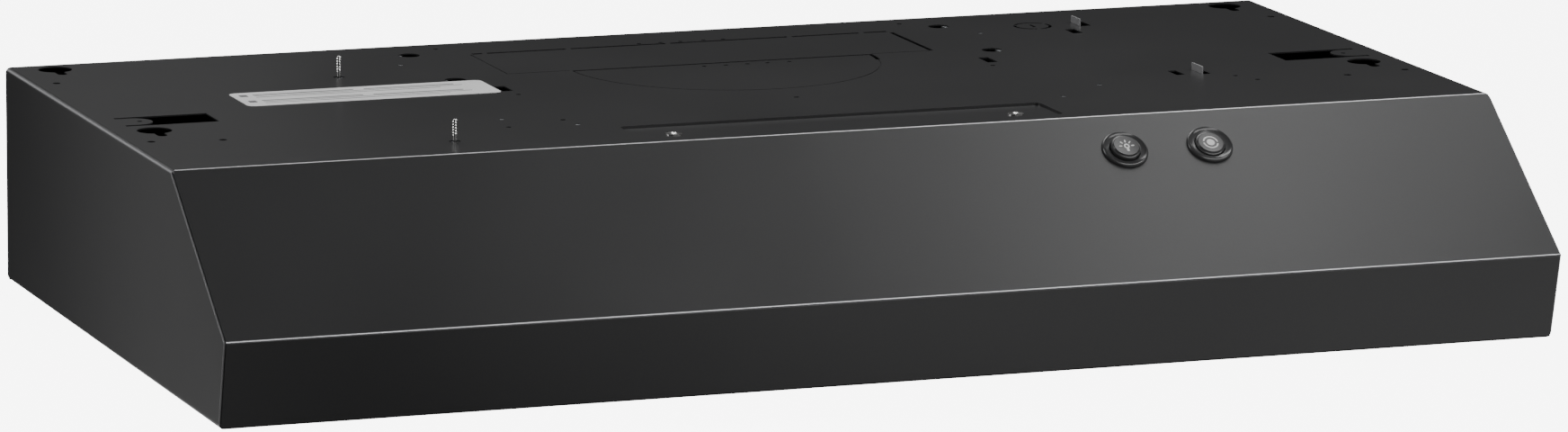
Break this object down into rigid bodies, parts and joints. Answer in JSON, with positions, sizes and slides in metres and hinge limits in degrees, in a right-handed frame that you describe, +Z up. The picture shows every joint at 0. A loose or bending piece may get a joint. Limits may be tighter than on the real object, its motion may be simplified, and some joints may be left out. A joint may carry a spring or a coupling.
{
  "type": "under cabinet range hood",
  "caption": "Low folded steel canopy with a sloping front and push buttons, hinged mesh grease filters, axial fan, enclosed lamps, duct knock-outs and keyhole mounts.",
  "frame": {"origin": "centre of the four keyholes, on the top face that lies against the cabinet", "axes": "+Z up out of the top face, +X along the hood's width to the right seen from the front, +Y towards the wall"},
  "size_m": [0.759, 0.4278, 0.133],
  "materials": {
    "black_paint": "satin black baked enamel with a very fine grain",
    "zinc_sheet": "galvanised sheet steel",
    "zinc_hardware": "zinc plated",
    "bright_screw": "bright plated steel",
    "filter_aluminium": "mill finish",
    "filter_mesh": "layers of expanded foil",
    "blade_aluminium": "stamped sheet",
    "motor_steel": "dipped grey paint",
    "lamination_steel": "stacked laminations",
    "winding_copper": "varnished copper wire",
    "bronze": "sintered bronze",
    "grommet_rubber": "moulded rubber",
    "lamp_reflector": "white gloss enamel",
    "socket_ceramic": "glazed porcelain",
    "cap_brass": "rolled brass",
    "bulb_glass": "frosted glass, opaque",
    "lens_plastic": "frosted clear plastic",
    "button_plastic": "gloss black moulding",
    "switch_plastic": "moulded nylon",
    "ground_green": "green plated screw",
    "label_film": "grey printed film, left blank",
    "wire_dark": "vinyl insulation",
    "wire_light": "vinyl insulation"
  },
  "bodies": {
    "canopy": {"canopy_shell": "black_paint", "rear_panel": "black_paint", "filter_pan": "black_paint", "fan_housing": "zinc_sheet", "orifice_ring": "zinc_sheet", "wiring_box": "zinc_sheet", "wiring_cover": "zinc_sheet", "top_brace": "zinc_sheet", "motor_bracket": "zinc_sheet", "filter_rail": "zinc_sheet", "rail_rivets": "zinc_hardware", "filter_clips": "zinc_hardware", "fan_housing_screws": "zinc_hardware", "bracket_screws": "zinc_hardware", "motor_screws": "zinc_hardware", "lamp_nuts": "zinc_hardware", "wiring_cover_screws": "zinc_hardware", "light_spring": "zinc_hardware", "fan_spring": "zinc_hardware", "lamp_screws": "bright_screw", "brace_screws": "bright_screw", "motor_can": "motor_steel", "motor_upper_bell": "motor_steel", "motor_lower_bell": "motor_steel", "motor_stator": "lamination_steel", "motor_windings": "winding_copper", "motor_bearings": "bronze", "motor_grommets": "grommet_rubber", "lamp_housing": "lamp_reflector", "lamp_sockets": "socket_ceramic", "bulb_caps": "cap_brass", "bulb_glasses": "bulb_glass", "light_bezel": "button_plastic", "fan_bezel": "button_plastic", "light_switch": "switch_plastic", "fan_switch": "switch_plastic", "switch_nuts": "switch_plastic", "ground_screw": "ground_green", "rating_label": "label_film", "motor_wire": "wire_dark", "switch_wire": "wire_dark", "lamp_wire": "wire_light"},
    "fan": {"motor_rotor": "lamination_steel", "motor_shaft": "bright_screw", "fan_blade": "blade_aluminium", "fan_hub": "bright_screw", "fan_nut": "bright_screw"},
    "left_filter": {"left_filter_frame": "filter_aluminium", "left_filter_mesh": "filter_mesh", "left_filter_tab": "filter_aluminium", "left_filter_studs": "zinc_hardware"},
    "right_filter": {"right_filter_frame": "filter_aluminium", "right_filter_mesh": "filter_mesh", "right_filter_tab": "filter_aluminium", "right_filter_studs": "zinc_hardware"},
    "lens": {"lamp_lens": "lens_plastic"},
    "light_push": {"light_button": "button_plastic"},
    "fan_push": {"fan_button": "button_plastic"}
  },
  "joints": [
    {"name": "fan_spin", "type": "hinge", "parent": "canopy", "child": "fan", "pos_m": [0.008, -0.015, -0.046], "axis": [0, 0, 1], "continuous": true},
    {"name": "left_filter_swing", "type": "hinge", "parent": "canopy", "child": "left_filter", "pos_m": [-0.1885, 0.093, -0.1045], "axis": [1, 0, 0], "range_deg": [0, 50]},
    {"name": "right_filter_swing", "type": "hinge", "parent": "canopy", "child": "right_filter", "pos_m": [0.1885, 0.093, -0.1045], "axis": [1, 0, 0], "range_deg": [0, 50]},
    {"name": "lens_swing", "type": "hinge", "parent": "canopy", "child": "lens", "pos_m": [0.008, -0.189, -0.105], "axis": [1, 0, 0], "range_deg": [0, 75]},
    {"name": "light_press", "type": "slide", "parent": "canopy", "child": "light_push", "axis": [0, 0.5974, -0.802], "range_m": [0, 0.003], "stiffness_N_per_m": 600, "springref_m": -0.002, "deforming": ["light_spring"]},
    {"name": "fan_press", "type": "slide", "parent": "canopy", "child": "fan_push", "axis": [0, 0.5974, -0.802], "range_m": [0, 0.002], "stiffness_N_per_m": 600, "springref_m": -0.002, "deforming": ["fan_spring"]}
  ]
}
